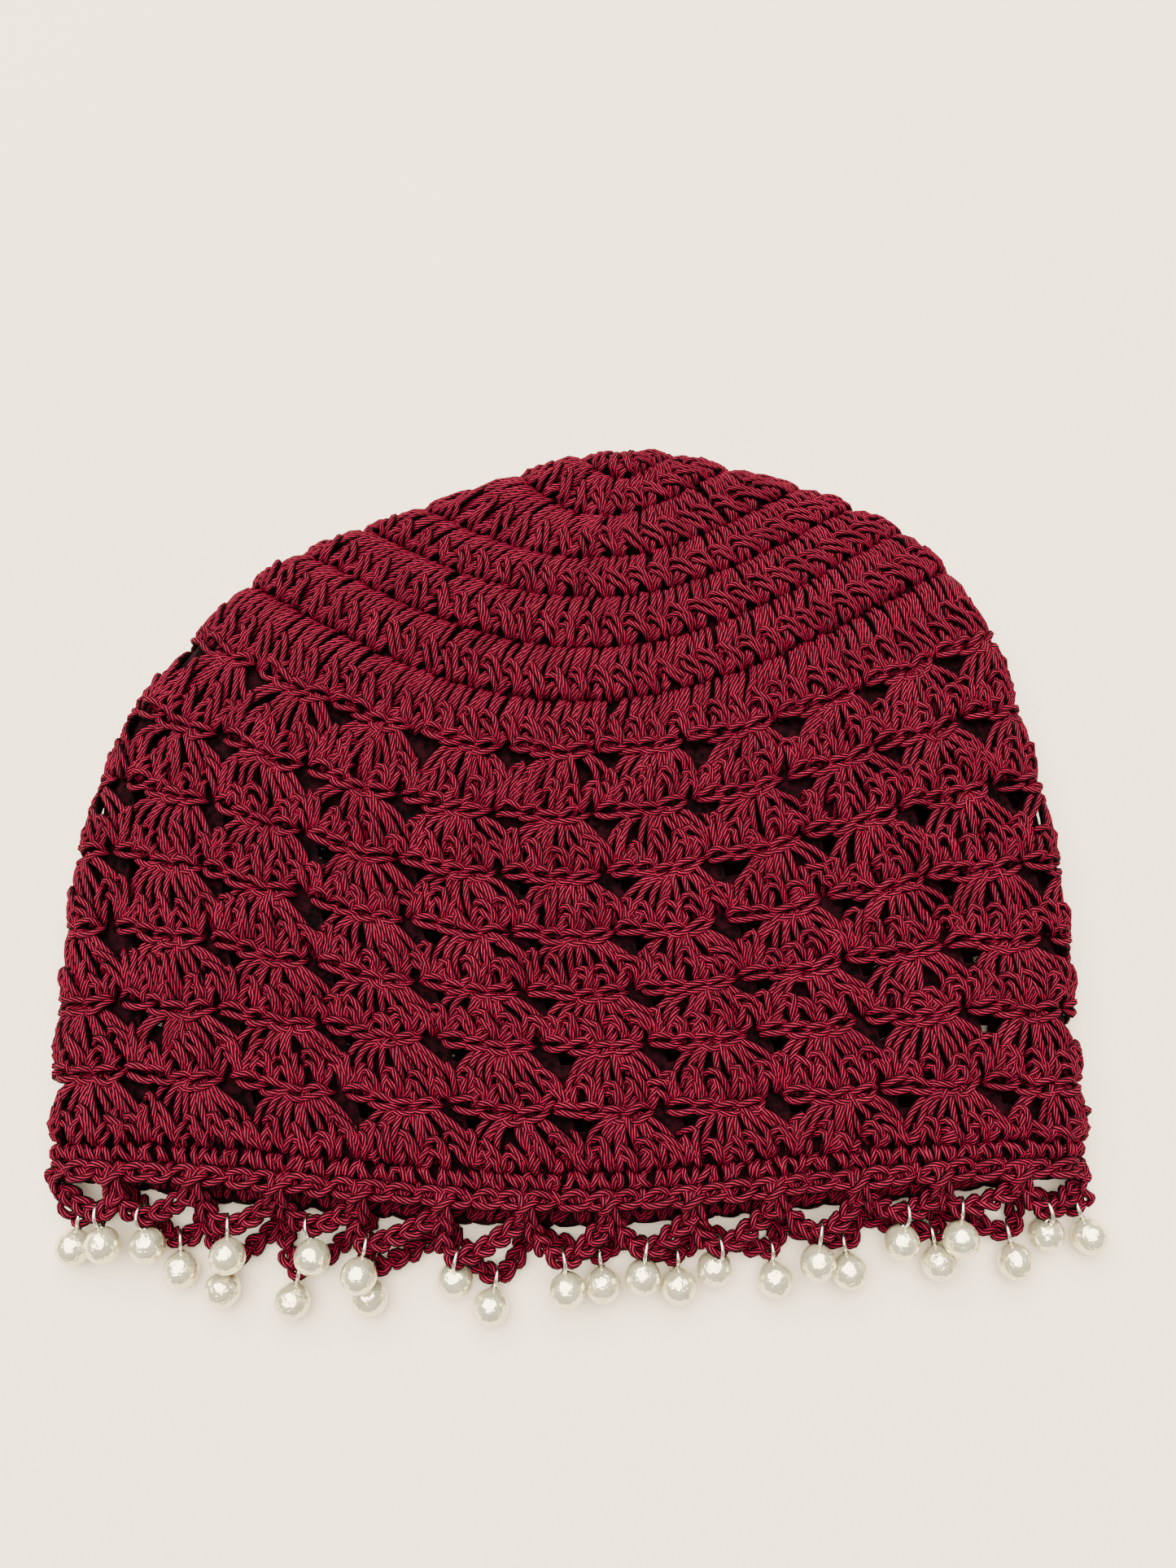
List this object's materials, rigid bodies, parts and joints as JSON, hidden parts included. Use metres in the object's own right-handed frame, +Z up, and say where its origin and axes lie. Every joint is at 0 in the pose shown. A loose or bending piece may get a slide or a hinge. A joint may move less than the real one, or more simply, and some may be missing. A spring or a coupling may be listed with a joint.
{
  "type": "crochet beanie",
  "caption": "Knitted-look crochet cap lying flat, with openwork shell rounds, a tight hem band, a zigzag loop edging and pearl drops on wire eyes.",
  "frame": {"origin": "on the table plane under the middle of the flattened cap, on its underside", "axes": "+Z up from the table, +Y from the hem to the top of the crown, +X to the wearer's right of the upper layer as the picture shows it (picture right)"},
  "size_m": [0.2361, 0.2122, 0.0161],
  "materials": {
    "yarn": "matte plied yarn",
    "pearl": "pearlescent coat"
  },
  "bodies": {
    "root": {"crown": "yarn", "shell_body": "yarn", "hem_band": "yarn", "loop_edging": "yarn", "pearl_drop_01": "pearl", "pearl_drop_02": "pearl", "pearl_drop_03": "pearl", "pearl_drop_04": "pearl", "pearl_drop_05": "pearl", "pearl_drop_06": "pearl", "pearl_drop_07": "pearl", "pearl_drop_08": "pearl", "pearl_drop_09": "pearl", "pearl_drop_10": "pearl", "pearl_drop_11": "pearl", "pearl_drop_12": "pearl", "pearl_drop_13": "pearl", "pearl_drop_14": "pearl", "pearl_drop_15": "pearl", "pearl_drop_16": "pearl", "pearl_drop_17": "pearl", "pearl_drop_18": "pearl", "pearl_drop_19": "pearl", "pearl_drop_20": "pearl", "pearl_drop_21": "pearl", "pearl_drop_22": "pearl", "pearl_drop_23": "pearl", "pearl_drop_24": "pearl", "pearl_drop_25": "pearl", "pearl_drop_26": "pearl"}
  },
  "joints": []
}
